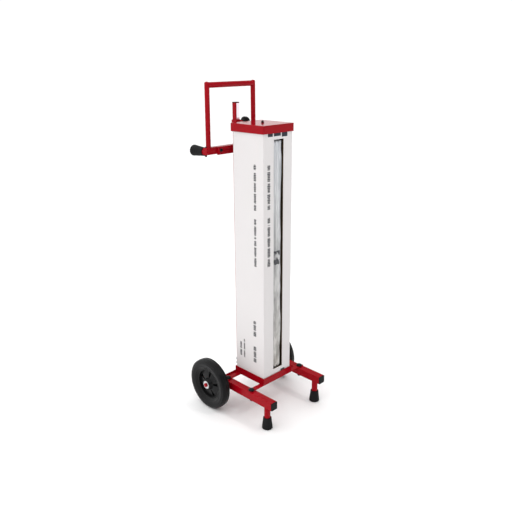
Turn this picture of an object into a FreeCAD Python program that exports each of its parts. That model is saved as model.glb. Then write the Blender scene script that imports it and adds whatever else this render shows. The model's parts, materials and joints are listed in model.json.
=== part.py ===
"""Two-wheeled dispenser trolley for a boxed roll of protective film.

A square-tube base on two wheels and two rubber feet carries an angle-iron tray.
A carton with the film roll stands in the tray, in front of a square mast, which is
bolted between the cheeks of a bracket behind the tray.
The mast holds a lateral arm with a push handle and two rubber rear buffers.
A capped plate slides on the mast and is clamped down on the carton by a knob.

Frame: +Z up, the tall slot in the carton faces -Y, the wheels and handle are at +Y.
The origin is on the floor, under the centre of the whole trolley.  Millimetres.
"""
import FreeCAD, Part
import os
from math import asin, cos, pi, sin

Vec = FreeCAD.Vector
X, Y, Z = Vec(1, 0, 0), Vec(0, 1, 0), Vec(0, 0, 1)
SIDES = {"left": -1, "right": 1}

# ---------------------------------------------------------------- driving sizes
CARTON_W, CARTON_D, CARTON_H = 144.0, 150.0, 960.6
CARTON_Y = -25.0
BOARD = 3.0                       # corrugated board of the carton
SLOT_X0, SLOT_X1 = -21.0, 27.0    # the film slot in the carton's front
SLOT_Z0, SLOT_Z1 = 168.0, 1038.0

WHEEL_R, WHEEL_X, AXLE_Y = 100.0, 183.0, 85.0
AXLE_R, HUB_LEN = 6.0, 39.0

RAIL, RAIL_WALL, RAIL_X = 30.0, 1.5, 134.0
RAIL_TOP, RAIL_Y0, RAIL_Y1 = 120.0, -211.0, 133.0
FOOT_Y, FOOT_POST_R = -178.0, 11.5
FERRULE_R, FERRULE_TOP_R, FERRULE_SOLE = 20.0, 15.5, 7.0
FOOT_LEN, BUFFER_LEN = 46.0, 60.0

LEG_T = 3.0                       # angle iron
LIP_TOP = 147.0
TRAY_GAP = 1.0
FRONT_LEG, REAR_LEG, TRAY_FOOT = 20.0, 31.0, 22.0
LOW_UPSTAND = 6.0
FRONT_BOLT_Y, REAR_BOLT_Y = -95.0, 34.0

MAST, MAST_WALL, MAST_Y, MAST_TOP = 19.0, 1.5, 110.0, 1150.0
STRIP_X0, STRIP_X1, STRIP_T, STRIP_Z0 = -6.0, 8.5, 0.8, 1002.0
MAST_Z0, CHEEK_T, CHEEK_Y1 = 110.0, 3.0, 114.0
MAST_BOLT_Y, MAST_BOLT_Z = 107.0, (118.0, 136.0)

ARM_Z, ARM_H, ARM_D, ARM_X, ARM_WALL = 986.5, 26.0, 20.0, 129.0, 1.5
CLEAT_T, CLEAT_X, CLEAT_DROP = 6.0, 81.0, 3.0
ARM_BOLT_X, ARM_SCREW_X, SCREW_HEAD_R = 66.0, 125.2, 3.2
POST_X, POST_FOOT_X, POST_R = 111.0, 112.5, 9.0
GRIP_Z, GRIP_R, POST_TOP = 1213.0, 10.0, 1225.0
BUFFER_X, BUFFER_END_Y, BUFFER_Z = 117.0, 214.0, 983.0

PLATE_TOP, PLATE_T, SKIRT = 1088.0, 3.0, 28.0
PLATE_LAP, REAR_LAP, BRACKET_DROP = 3.2, 8.0, 8.0
SKIRT_T = 2.0
COLLAR, COLLAR_FIT, COLLAR_LEN = 24.0, 0.06, 42.0
COLLAR_TOP = 1090.5
KNOB_Z, KNOB_R, KNOB_X0 = 1078.0, 20.5, 34.5
SCREW_R, BOSS_R, PAD_LEN, STUD_R = 4.0, 7.5, 3.5, 3.0

CORE_R, CORE_WALL, ROLL_R, ROLL_LEN = 38.0, 3.0, 62.0, 914.0
HUB_FLANGE, UPPER_HUB_LEN = 4.0, 55.0
GAP = 0.3                         # between bodies that move against each other

# ---------------------------------------------------------------- derived places
FLOOR_Z = RAIL_TOP + LEG_T        # the carton stands here
CARTON_TOP = FLOOR_Z + CARTON_H
FRONT_Y = CARTON_Y - CARTON_D / 2
REAR_Y = CARTON_Y + CARTON_D / 2
TRAY_X = CARTON_W / 2 + TRAY_GAP  # inner face of the tray's side lips
TRAY_Y0, TRAY_Y1 = FRONT_Y - TRAY_GAP, REAR_Y + TRAY_GAP
RAIL_Z = RAIL_TOP - RAIL / 2
RAIL_OUT = RAIL_X + RAIL / 2
MAST_HALF = MAST / 2
CLEAT_Y = MAST_Y + MAST_HALF      # the cleat is welded to the mast's back
ARM_Y0 = CLEAT_Y + CLEAT_T
ARM_Y = ARM_Y0 + ARM_D / 2
ARM_TOP, ARM_BACK = ARM_Z + ARM_H / 2, ARM_Y0 + ARM_D
HUB_X0, HUB_X1 = WHEEL_X - HUB_LEN / 2, WHEEL_X + HUB_LEN / 2
ROLL_Z0 = FLOOR_Z + BOARD + HUB_FLANGE + GAP
PLATE_UNDER = PLATE_TOP - PLATE_T
PLATE_BACK = REAR_Y + REAR_LAP


# ---------------------------------------------------------------- small builders
def box(x, y, z):
    """A block between the given (low, high) pairs."""
    return Part.makeBox(x[1] - x[0], y[1] - y[0], z[1] - z[0], Vec(x[0], y[0], z[0]))


def rod(radius, length, base, axis=Z):
    return Part.makeCylinder(radius, length, Vec(*base), axis)


def pipe(outer, inner, length, base, axis=Z):
    return rod(outer, length, base, axis).cut(rod(inner, length, base, axis))


def placed(shape, base, turn):
    shape.Placement = FreeCAD.Placement(Vec(*base), turn)
    return shape


def lathe(profile, base, axis=Z):
    """Turn a closed outline of (radius, height) points and arc mid-points round an axis.

    An entry is (r, h), or (r, h, mid_r, mid_h) for an arc that reaches (r, h).
    """
    edges = []
    last = Vec(profile[-1][0], 0, profile[-1][1])
    for entry in profile:
        here = Vec(entry[0], 0, entry[1])
        if len(entry) == 4:
            edges.append(Part.Arc(last, Vec(entry[2], 0, entry[3]), here).toShape())
        else:
            edges.append(Part.makeLine(last, here))
        last = here
    solid = Part.Face(Part.Wire(edges)).revolve(Vec(0, 0, 0), Z, 360)
    return placed(solid, base, FreeCAD.Rotation(Z, axis))


def round_cap(radius, low, high):
    """The last entry of a lathe outline: part of a ball, from a rim up to the axis."""
    rise = high - low
    ball = (radius ** 2 + rise ** 2) / (2 * rise)
    half_way = asin(radius / ball) / 2
    return (0, high, ball * sin(half_way), high - ball * (1 - cos(half_way)))


def hexagon(across, height, base, axis=Z):
    """A hexagonal prism, such as a nut or bolt head."""
    reach = across / 2 / cos(pi / 6)
    corners = [Vec(reach * cos(k * pi / 3), reach * sin(k * pi / 3), 0) for k in range(7)]
    prism = Part.Face(Part.makePolygon(corners)).extrude(Vec(0, 0, height))
    return placed(prism, base, FreeCAD.Rotation(Z, axis))


def soften(shape, radius, axis):
    """Round the straight edges that run along an axis."""
    edges = []
    for edge in shape.Edges:
        if isinstance(edge.Curve, Part.Line) and abs(edge.tangentAt(edge.FirstParameter).dot(axis)) > 0.99:
            edges.append(edge)
    return shape.makeFillet(radius, edges)


def box_tube(wall, x, y, z, axis):
    """A rectangular tube with rounded corners that runs along an axis."""
    outer = soften(box(x, y, z), 1.5 * wall, axis)
    inset = [wall * (1 - abs(axis.dot(side))) for side in (X, Y, Z)]
    spans = [(low + step, high - step) for (low, high), step in zip((x, y, z), inset)]
    return outer.cut(soften(box(*spans), 0.5 * wall, axis))


def group(solids):
    return Part.makeCompound(solids)


def mirrored(shape):
    """The same piece on the other side of the trolley."""
    return shape.mirror(Vec(0, 0, 0), X)


def sided(node, right):
    """Both copies of a piece that is drawn on the right."""
    return {"right_" + node: right, "left_" + node: mirrored(right)}


# ---------------------------------------------------------------- base frame
def rail():
    """A side rail, drilled for its two frame bolts, the axle and the foot post."""
    across, height = (RAIL_X - RAIL / 2, RAIL_OUT), (RAIL_TOP - RAIL, RAIL_TOP)
    tube = box_tube(RAIL_WALL, across, (RAIL_Y0, RAIL_Y1), height, Y)
    for bolt_y in (FRONT_BOLT_Y, REAR_BOLT_Y):
        tube = tube.cut(rod(4.2, 2 * RAIL, (RAIL_X, bolt_y, RAIL_Z - RAIL)))
    return tube.cut(rod(AXLE_R, 2 * RAIL, (RAIL_X - RAIL, AXLE_Y, WHEEL_R), X))


def end_plug(y, outward):
    """A ribbed push-in plug that closes one end of a rail."""
    def square(half, corner, low, high):
        block = box((RAIL_X - half, RAIL_X + half), (low, high), (RAIL_Z - half, RAIL_Z + half))
        return soften(block, corner, Y)

    head_t, stem_len = 3.0, 14.0
    head = square(RAIL / 2, 2 * RAIL_WALL, 0, head_t)
    head = head.makeFillet(1.0, [e for e in head.Edges if e.CenterOfMass.y > head_t - 0.1])
    plug = head.fuse(square(RAIL / 2 - RAIL_WALL, RAIL_WALL, -stem_len, 0))
    if outward < 0:
        plug = plug.mirror(Vec(0, 0, 0), Y)
    return plug.translated(Vec(0, y, 0))


def foot_post():
    """A round tube welded under the rail."""
    length = RAIL_TOP - RAIL - FERRULE_SOLE
    return pipe(FOOT_POST_R, FOOT_POST_R - 1.5, length, (RAIL_X, FOOT_Y, FERRULE_SOLE))


def ferrule(base, axis, length):
    """A tapered rubber ferrule with ribbed sides; its sole is at the base point."""
    outline = [(0, 0), (FERRULE_R - 4, 0), (FERRULE_R, 4, FERRULE_R - 1.2, 1.2)]
    ribs = 4
    pitch = (length - 18.0) / ribs
    for k in range(ribs):
        low = 8.0 + k * pitch
        wide = FERRULE_R - (FERRULE_R - FERRULE_TOP_R) * (low - 4) / (length - 8)
        outline += [(wide, low), (wide - 0.8, low + 1), (wide - 0.8, low + 2.4), (wide - 0.2, low + 3.4)]
    outline += [(FERRULE_TOP_R, length - 1.5), (FERRULE_TOP_R - 1.5, length)]
    outline += [(FOOT_POST_R, length), (FOOT_POST_R, FERRULE_SOLE), (0, FERRULE_SOLE)]
    return lathe(outline, base, axis)


def front_cross_angle():
    """Its foot lies across both rails; its lip stands only in front of the carton."""
    foot = box((-RAIL_OUT, RAIL_OUT), (TRAY_Y0 - LEG_T, TRAY_Y0 - LEG_T + FRONT_LEG), (RAIL_TOP, FLOOR_Z))
    lip = box((-TRAY_X - LEG_T, TRAY_X + LEG_T), (TRAY_Y0 - LEG_T, TRAY_Y0), (RAIL_TOP, LIP_TOP))
    return drill_for_bolts(foot.fuse(lip).removeSplitter(), FRONT_BOLT_Y)


def rear_cross_angle():
    """Wider than the front one, with a low upstand that rises behind the carton."""
    back = TRAY_Y1 + LEG_T
    foot = box((-RAIL_OUT, RAIL_OUT), (back - REAR_LEG, back), (RAIL_TOP, FLOOR_Z))
    low = box((-RAIL_OUT, RAIL_OUT), (TRAY_Y1, back), (RAIL_TOP, FLOOR_Z + LOW_UPSTAND))
    lip = box((-TRAY_X - LEG_T, TRAY_X + LEG_T), (TRAY_Y1, back), (RAIL_TOP, LIP_TOP))
    return drill_for_bolts(foot.fuse([low, lip]).removeSplitter(), REAR_BOLT_Y)


def drill_for_bolts(angle, bolt_y):
    for side in SIDES.values():
        angle = angle.cut(rod(4.2, 2 * RAIL, (side * RAIL_X, bolt_y, RAIL_Z)))
    return angle


def tray_angle():
    """One side of the tray, welded between the two cross angles."""
    across, low = (TRAY_X, TRAY_X + LEG_T), (RAIL_TOP, FLOOR_Z)
    front_end, rear_end = TRAY_Y0 - LEG_T + FRONT_LEG, TRAY_Y1 + LEG_T - REAR_LEG
    lip = box(across, (TRAY_Y0, TRAY_Y1), (RAIL_TOP, LIP_TOP))
    foot = box((TRAY_X - TRAY_FOOT, TRAY_X), (front_end, rear_end), low)
    # the lip is notched over the cross angles' feet
    notched = lip.cut(box(across, (TRAY_Y0, front_end), low)).cut(box(across, (rear_end, TRAY_Y1), low))
    return notched.fuse(foot).removeSplitter()


def frame_bolt(x, y):
    """A coach bolt with a wide domed cap, down through the angle and the rail."""
    dome = lathe([(0, 0), (11.5, 0), (11.5, 2.0), round_cap(11.5, 2.0, 8.5)], (x, y, FLOOR_Z))
    return dome.fuse(rod(4.0, FLOOR_Z - RAIL_TOP + RAIL + 12, (x, y, RAIL_TOP - RAIL - 12)))


def frame_nut(x, y):
    """A flange nut under the rail."""
    top = RAIL_TOP - RAIL
    flange = pipe(9.5, 4.0, 1.6, (x, y, top - 1.6))
    return flange.fuse(hexagon(13.0, 7.0, (x, y, top - 8.6)).cut(rod(4.0, 7.0, (x, y, top - 8.6))))


def frame_bolt_places():
    return [(side * RAIL_X, y) for side in SIDES.values() for y in (FRONT_BOLT_Y, REAR_BOLT_Y)]


def mast_bracket():
    """A channel behind the rear cross angle, with a cheek on either side of the mast's foot."""
    half, low, back = MAST_HALF + CHEEK_T, MAST_Z0 - CHEEK_T, TRAY_Y1 + LEG_T
    web = box((-half, half), (back, back + CHEEK_T), (low, LIP_TOP))
    seat = box((-half, half), (back, CHEEK_Y1), (low, MAST_Z0))
    cheek = box((MAST_HALF, half), (back, CHEEK_Y1), (low, LIP_TOP))
    return drill_mast_foot(web.fuse([seat, cheek, mirrored(cheek)]).removeSplitter())


# ---------------------------------------------------------------- axle and wheels
def axle():
    reach = HUB_X1 + 4.5
    return rod(AXLE_R, 2 * reach, (-reach, AXLE_Y, WHEEL_R), X)


def axle_spacer():
    """Keeps the wheel clear of the rail."""
    return pipe(10.0, AXLE_R, HUB_X0 - GAP - RAIL_OUT, (RAIL_OUT, AXLE_Y, WHEEL_R), X)


def hub_washer():
    return lathe([(AXLE_R, 0), (15.5, 0), (15.5, 1.0), (14.9, 1.6), (AXLE_R, 1.6)],
                 (HUB_X1 + GAP, AXLE_Y, WHEEL_R), X)


def axle_cap():
    """A push-on cap over the end of the axle, painted with the frame."""
    start = HUB_X1 + GAP + 1.6
    outline = [(AXLE_R, 0), (7.8, 0), (7.8, 3.0), (6.0, 5.0, 7.3, 4.3), (0, 5.4), (0, 2.6), (AXLE_R, 2.6)]
    return lathe(outline, (start, AXLE_Y, WHEEL_R), X)


def tyre():
    """A solid rubber tyre with bulging side walls and three grooves round its tread."""
    bead_r, bead_e, wall_r, wall_e, edge_r = 60.0, 10.0, 84.0, 18.8, 92.0
    tread_r, tread_e = 96.5, 15.5
    side = [(bead_r, -bead_e), (wall_r, -wall_e, 71.0, -16.2), (edge_r, -wall_e),
            (edge_r + 0.6, -wall_e + 1.2), (tread_r, -tread_e, 95.6, -wall_e + 1.6)]
    tread = []
    for centre in (-9.5, 0.0, 9.5):
        crown = WHEEL_R - (WHEEL_R - tread_r) * (abs(centre) / tread_e) ** 2
        tread += [(crown, centre - 1.6), (crown - 1.8, centre - 1.0), (crown - 1.8, centre + 1.0),
                  (crown, centre + 1.6)]
    other = [(tread_r, tread_e), (edge_r + 0.6, wall_e - 1.2, 95.6, wall_e - 1.6),
             (edge_r, wall_e), (wall_r, wall_e), (bead_r, bead_e, 71.0, 16.2)]
    return lathe(side + tread + other, (WHEEL_X, AXLE_Y, WHEEL_R), X)


def wheel_hub():
    """A moulded hub: rim, dished web with five radial pockets and a long boss."""
    place = (WHEEL_X, AXLE_Y, WHEEL_R)
    half = HUB_LEN / 2
    outline = [(11.0, -half), (18.0, -half), (20.0, -9.0), (53.0, -9.0), (56.0, -9.5), (60.0, -10.0),
               (60.0, 10.0), (56.0, 9.5), (54.0, 1.5), (24.0, 8.0), (19.0, half - 1.5), (17.5, half),
               (11.0, half)]
    hub = lathe(outline, place, X)
    pockets, bottom = 5, -6.0
    outline = [(25, -2.2), (50, -6.5), (51.5, 0), (50, 6.5), (25, 2.2), (25, -2.2)]
    for k in range(pockets):
        turn = 97.0 + k * 360.0 / pockets
        pocket = Part.Face(Part.makePolygon([Vec(x, y, bottom) for x, y in outline]))
        cutter = soften(pocket.extrude(Vec(0, 0, HUB_LEN)), 1.5, Z)
        # local x points outward from the boss, local z along the axle
        facing = FreeCAD.Rotation(X, turn) * FreeCAD.Rotation(Y, Z, X, "ZXY")
        hub = hub.cut(placed(cutter, place, facing))
    return hub


def wheel_bush():
    return pipe(11.0, AXLE_R + 0.05, HUB_LEN, (HUB_X0, AXLE_Y, WHEEL_R), X)


# ---------------------------------------------------------------- mast, arm, handle
def mast_section(inset, z0, z1):
    """The square of the mast between two heights, drawn in by an inset."""
    half = MAST_HALF - inset
    return soften(box((-half, half), (MAST_Y - half, MAST_Y + half), (z0, z1)), 1.0, Z)


def drill_mast_foot(shape):
    for z in MAST_BOLT_Z:
        shape = shape.cut(rod(3.0, 2 * MAST, (-MAST, MAST_BOLT_Y, z), X))
    return shape


def mast_foot_insert():
    """A square bar inside the mast's foot, so that its bolts don't crush it."""
    return drill_mast_foot(mast_section(MAST_WALL, MAST_Z0, LIP_TOP + 10.0))


def mast():
    square = (MAST_Y - MAST_HALF, MAST_Y + MAST_HALF)
    return drill_mast_foot(box_tube(MAST_WALL, (-MAST_HALF, MAST_HALF), square, (MAST_Z0, MAST_TOP), Z))


def mast_guide_strip():
    """A bright flat strip on the mast's front face, where the collar slides."""
    front = MAST_Y - MAST_HALF
    return box((STRIP_X0, STRIP_X1), (front - STRIP_T, front), (STRIP_Z0, MAST_TOP - 1.0))


def mast_bolt(z):
    """A hexagon bolt through the bracket and the mast, its head on the left."""
    face, washer_t, head_t = MAST_HALF + CHEEK_T, 1.2, 4.2
    washer = rod(6.0, washer_t, (-face - washer_t, MAST_BOLT_Y, z), X)
    head = hexagon(10.0, head_t, (-face - washer_t - head_t, MAST_BOLT_Y, z), X)
    return rod(3.0, 2 * face + 8.0, (-face - washer_t, MAST_BOLT_Y, z), X).fuse([washer, head])


def mast_nut(z):
    place, height = (MAST_HALF + CHEEK_T, MAST_BOLT_Y, z), 5.0
    return hexagon(10.0, height, place, X).cut(rod(3.0, height, place, X))


def mast_top_plug():
    """A low square plug with a stem inside the tube."""
    head = mast_section(0.0, MAST_TOP, MAST_TOP + 2.4)
    head = head.makeFillet(0.9, [e for e in head.Edges if e.CenterOfMass.z > MAST_TOP + 2.3])
    return head.fuse(mast_section(MAST_WALL, MAST_TOP - 14.0, MAST_TOP))


def mast_cleat():
    """A flat plate welded to the back of the mast; the arm is bolted behind it."""
    plate = box((-CLEAT_X, CLEAT_X), (CLEAT_Y, ARM_Y0), (ARM_Z - ARM_H / 2 - CLEAT_DROP, ARM_TOP))
    for side in SIDES.values():
        plate = plate.cut(rod(3.0, 2 * CLEAT_T, (side * ARM_BOLT_X, CLEAT_Y - CLEAT_T / 2, ARM_Z), Y))
    return plate


def handle_arm():
    """A rectangular tube across the mast, drilled for its bolts, with welded end plates."""
    depth, height = (ARM_Y0, ARM_BACK), (ARM_Z - ARM_H / 2, ARM_TOP)
    tube = box_tube(ARM_WALL, (-ARM_X, ARM_X), depth, height, X)
    for side in SIDES.values():
        ends = sorted((side * (ARM_X - ARM_WALL), side * ARM_X))
        tube = tube.fuse(soften(box(ends, depth, height), 2 * ARM_WALL, X))
        tube = tube.cut(rod(3.0, 2 * ARM_D, (side * ARM_BOLT_X, ARM_Y - ARM_D, ARM_Z), Y))
        tube = tube.cut(rod(2.5, 2 * ARM_H, (side * ARM_SCREW_X, ARM_Y, ARM_Z - ARM_H)))
    return tube.removeSplitter()


def arm_bolt(x):
    """A low round-headed bolt, from the cleat's face back through the arm."""
    head = lathe([(0, 0), (6.5, 0), (6.0, 1.6), (3.0, 3.4, 4.8, 2.9), (0, 3.4)], (x, CLEAT_Y, ARM_Z), -Y)
    return head.fuse(rod(3.0, ARM_D + CLEAT_T + 7, (x, CLEAT_Y, ARM_Z), Y))


def arm_nut(x):
    return hexagon(10.0, 5.0, (x, ARM_BACK, ARM_Z), Y).cut(rod(3.0, 5.0, (x, ARM_BACK, ARM_Z), Y))


def handle_post():
    """A round upright with a domed top that leans in a little from its foot on the arm."""
    foot = Vec(POST_FOOT_X, ARM_Y, ARM_TOP)
    lean = Vec(POST_X, ARM_Y, POST_TOP) - foot
    length, below = lean.Length, 2.0
    outline = [(0, -below), (POST_R, -below), (POST_R, length - 4.0)]
    outline.append(round_cap(POST_R, length - 4.0, length))
    under = box((0, 2 * POST_FOOT_X), (0, 2 * ARM_Y), (ARM_Z, ARM_TOP))
    return lathe(outline, foot, lean).cut(under)


def grip_bar():
    """A round bar between the posts, its ends fitted to them."""
    bar = rod(GRIP_R, 2 * POST_X, (-POST_X, ARM_Y, GRIP_Z), X)
    bar = bar.cut([handle_post(), mirrored(handle_post())])
    return max(bar.Solids, key=lambda solid: solid.Volume)


def buffer_stub():
    """A short tube behind the arm's end that carries a rubber buffer."""
    length = BUFFER_END_Y - FERRULE_SOLE - ARM_BACK
    return pipe(FOOT_POST_R, FOOT_POST_R - 1.5, length, (BUFFER_X, ARM_BACK, BUFFER_Z), Y)


def arm_end_bolt(x):
    """A small screw down through the arm's end."""
    outline = [(0, 0), (SCREW_HEAD_R, 0), (SCREW_HEAD_R, 1.4), round_cap(SCREW_HEAD_R, 1.4, 3.6)]
    head = lathe(outline, (x, ARM_Y, ARM_TOP))
    return head.fuse(rod(2.5, ARM_H + 7, (x, ARM_Y, ARM_TOP - ARM_H - 7)))


def arm_end_nut(x):
    low = ARM_TOP - ARM_H - 5.0
    return hexagon(8.0, 5.0, (x, ARM_Y, low)).cut(rod(2.5, 5.0, (x, ARM_Y, low)))


# ---------------------------------------------------------------- carton and roll
def carton():
    """A tall board box with a long slot in its front face."""
    x, y, z = (-CARTON_W / 2, CARTON_W / 2), (FRONT_Y, REAR_Y), (FLOOR_Z, CARTON_TOP)
    shell = box(x, y, z).cut(box((x[0] + BOARD, x[1] - BOARD), (y[0] + BOARD, y[1] - BOARD),
                                 (z[0] + BOARD, z[1] - BOARD)))
    shell = shell.cut(box((SLOT_X0, SLOT_X1), (FRONT_Y - 1, FRONT_Y + BOARD + 1), (SLOT_Z0, SLOT_Z1)))
    opening = rod(CORE_R - CORE_WALL - 1.0, 3 * BOARD, (0, CARTON_Y, CARTON_TOP - 2 * BOARD))
    return shell.cut(opening)


def lower_roll_hub():
    """A flanged plug on the carton's floor that the roll turns on."""
    spigot = CORE_R - CORE_WALL - 0.5
    height = 37.0
    outline = [(0, 0), (48.0, 0), (48.0, 3.0), (spigot, HUB_FLANGE), (spigot, height - 3.0),
               (spigot - 3.0, height), (0, height)]
    return lathe(outline, (0, CARTON_Y, FLOOR_Z + BOARD))


def roll_core():
    return pipe(CORE_R, CORE_R - CORE_WALL, ROLL_LEN, (0, CARTON_Y, ROLL_Z0))


def film_roll():
    return pipe(ROLL_R, CORE_R, ROLL_LEN - 12.0, (0, CARTON_Y, ROLL_Z0 + 6.0))


# ---------------------------------------------------------------- sliding top plate
def top_plate():
    """A flat plate with a shallow skirt that caps the carton, and a bar to the collar."""
    half_w, low = CARTON_W / 2 + PLATE_LAP, PLATE_TOP - SKIRT
    front, in_w = FRONT_Y - PLATE_LAP, half_w - SKIRT_T
    outer = box((-half_w, half_w), (front, PLATE_BACK), (low, PLATE_TOP))
    inner = box((-in_w, in_w), (front + SKIRT_T, PLATE_BACK - SKIRT_T), (low, PLATE_UNDER))
    cap = soften(outer, 1.5, Z)
    cap = cap.makeChamfer(0.8, [e for e in cap.Edges if e.CenterOfMass.z > PLATE_TOP - 0.1]).cut(inner)
    # the seam between the plate's edge and the strip welded under it, at the front
    seam = box((-half_w, half_w), (front, front + 0.9), (PLATE_UNDER - 1.4, PLATE_UNDER))
    return cap.cut(seam).cut(rod(STUD_R, 2 * PLATE_T, (0, CARTON_Y, PLATE_UNDER - PLATE_T)))


def sleeve_block(half, corner, low, high):
    """A block round the mast and its strip: the outside of the collar, or its bore."""
    front = MAST_Y - half - STRIP_T
    return soften(box((-half, half), (front, MAST_Y + half), (low, high)), corner, Z)


def plate_bracket():
    """An upturned channel between the cap's back and the collar."""
    end = MAST_Y - COLLAR / 2 - STRIP_T
    half, wall, top = 13.0, 3.0, PLATE_TOP - BRACKET_DROP
    channel = box((-half, half), (PLATE_BACK, end), (PLATE_TOP - SKIRT, top))
    return channel.cut(box((wall - half, half - wall), (PLATE_BACK, end), (PLATE_TOP - SKIRT, top - wall)))


def plate_collar():
    """The square sleeve that slides on the mast, with a boss for the clamp screw."""
    low = COLLAR_TOP - COLLAR_LEN
    boss = rod(BOSS_R, KNOB_X0 - 5.0, (0, MAST_Y, KNOB_Z), X)
    bore = sleeve_block(MAST_HALF + COLLAR_FIT, 0.4, low, COLLAR_TOP)
    body = sleeve_block(COLLAR / 2, 1.5, low, COLLAR_TOP).fuse(boss).cut(bore)
    return body.cut(rod(SCREW_R + COLLAR_FIT, KNOB_X0, (0, MAST_Y, KNOB_Z), X)).removeSplitter()


def upper_roll_hub():
    """A plug under the plate that centres the top of the roll."""
    spigot = CORE_R - CORE_WALL - 1.5
    low = -UPPER_HUB_LEN
    outline = [(STUD_R, 0), (spigot, 0), (spigot, low + 4), (spigot - 4, low), (STUD_R, low)]
    return lathe(outline, (0, CARTON_Y, PLATE_UNDER))


def centre_bolt():
    """Holds the upper hub under the plate; its stud and nut show on top."""
    head_z = PLATE_UNDER - UPPER_HUB_LEN - 5.0
    stud = rod(STUD_R, PLATE_TOP + 8.0 - head_z, (0, CARTON_Y, head_z))
    head = hexagon(12.0, 5.0, (0, CARTON_Y, head_z))
    nut = hexagon(9.0, 5.0, (0, CARTON_Y, PLATE_TOP))
    return stud.fuse([head, nut]).removeSplitter()


def clamp_pad():
    """The small pad on the screw's nose that bears on the mast; it doesn't turn."""
    return rod(SCREW_R, PAD_LEN, (MAST_HALF + COLLAR_FIT, MAST_Y, KNOB_Z), X)


def clamp_screw():
    start = MAST_HALF + 2 * COLLAR_FIT + PAD_LEN
    return rod(SCREW_R, KNOB_X0 + 12 - start, (start, MAST_Y, KNOB_Z), X)


def clamp_knob():
    """A domed knob with six finger scallops."""
    outline = [(4.0, 0), (10.0, 0), (12.0, 3.0), (KNOB_R - 1.5, 5.0), (KNOB_R, 6.5), (KNOB_R, 13.0),
               (12.0, 22.5, 18.0, 19.5), (0, 24.0), (0, 12.0), (4.0, 12.0)]
    knob = lathe(outline, (KNOB_X0, MAST_Y, KNOB_Z), X)
    for k in range(6):
        angle = (k + 0.5) * pi / 3
        reach = KNOB_R + 4.5
        place = (KNOB_X0, MAST_Y + reach * cos(angle), KNOB_Z + reach * sin(angle))
        knob = knob.cut(rod(6.5, 40, place, X))
    return knob


# ---------------------------------------------------------------- the whole trolley
def nodes():
    """Every piece by name."""
    bolt_places = frame_bolt_places()
    parts = {
        "front_cross_angle": front_cross_angle(), "rear_cross_angle": rear_cross_angle(),
        "frame_bolts": group([frame_bolt(*place) for place in bolt_places]),
        "frame_nuts": group([frame_nut(*place) for place in bolt_places]),
        "axle": axle(),
        "axle_spacers": group([axle_spacer(), mirrored(axle_spacer())]),
        "hub_washers": group([hub_washer(), mirrored(hub_washer())]),
        "axle_caps": group([axle_cap(), mirrored(axle_cap())]),
        "mast_bracket": mast_bracket(), "mast_foot_insert": mast_foot_insert(),
        "mast": mast(), "mast_top_plug": mast_top_plug(),
        "mast_guide_strip": mast_guide_strip(),
        "mast_bolts": group([mast_bolt(z) for z in MAST_BOLT_Z]),
        "mast_nuts": group([mast_nut(z) for z in MAST_BOLT_Z]),
        "mast_cleat": mast_cleat(), "handle_arm": handle_arm(), "handle_grip_bar": grip_bar(),
        "arm_bolts": group([arm_bolt(side * ARM_BOLT_X) for side in SIDES.values()]),
        "arm_nuts": group([arm_nut(side * ARM_BOLT_X) for side in SIDES.values()]),
        "arm_end_bolts": group([arm_end_bolt(side * ARM_SCREW_X) for side in SIDES.values()]),
        "arm_end_nuts": group([arm_end_nut(side * ARM_SCREW_X) for side in SIDES.values()]),
        "carton": carton(), "lower_roll_hub": lower_roll_hub(),
        "roll_core": roll_core(), "film_roll": film_roll(),
        "top_plate": top_plate(), "plate_bracket": plate_bracket(), "plate_collar": plate_collar(),
        "upper_roll_hub": upper_roll_hub(), "plate_centre_bolt": centre_bolt(),
        "clamp_pad": clamp_pad(), "clamp_screw": clamp_screw(), "clamp_knob": clamp_knob(),
    }
    parts.update(sided("rail", rail()))
    parts.update(sided("front_end_plug", end_plug(RAIL_Y0, -1)))
    parts.update(sided("rear_end_plug", end_plug(RAIL_Y1, 1)))
    parts.update(sided("foot_post", foot_post()))
    parts.update(sided("rubber_foot", ferrule((RAIL_X, FOOT_Y, 0), Z, FOOT_LEN)))
    parts.update(sided("tray_angle", tray_angle()))
    parts.update(sided("tyre", tyre()))
    parts.update(sided("wheel_hub", wheel_hub()))
    parts.update(sided("wheel_bush", wheel_bush()))
    parts.update(sided("handle_post", handle_post()))
    parts.update(sided("buffer_stub", buffer_stub()))
    parts.update(sided("rubber_buffer", ferrule((BUFFER_X, BUFFER_END_Y, BUFFER_Z), -Y, BUFFER_LEN)))
    return parts


os.makedirs("parts", exist_ok=True)
for name, shape in sorted(nodes().items()):
    shape.exportStep("parts/" + name + ".step")
    print(name, "valid" if shape.isValid() else "INVALID", len(shape.Solids), round(shape.Volume))
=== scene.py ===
"""Finished look of the film dispenser trolley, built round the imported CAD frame.

The frame's steel parts keep their own shape and get rounded edges, weld beads and a finish.
The carton, the film roll and its free end, the tyres and the rings on the hubs are modelled here.
Metres, +Z up, in the CAD frame: the carton's slot faces -Y, and the wheels are at +Y.
"""
import json
import random
from math import ceil, cos, pi, radians, sin, tau

import bmesh
import bpy
from mathutils import Matrix, Vector, noise


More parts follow.
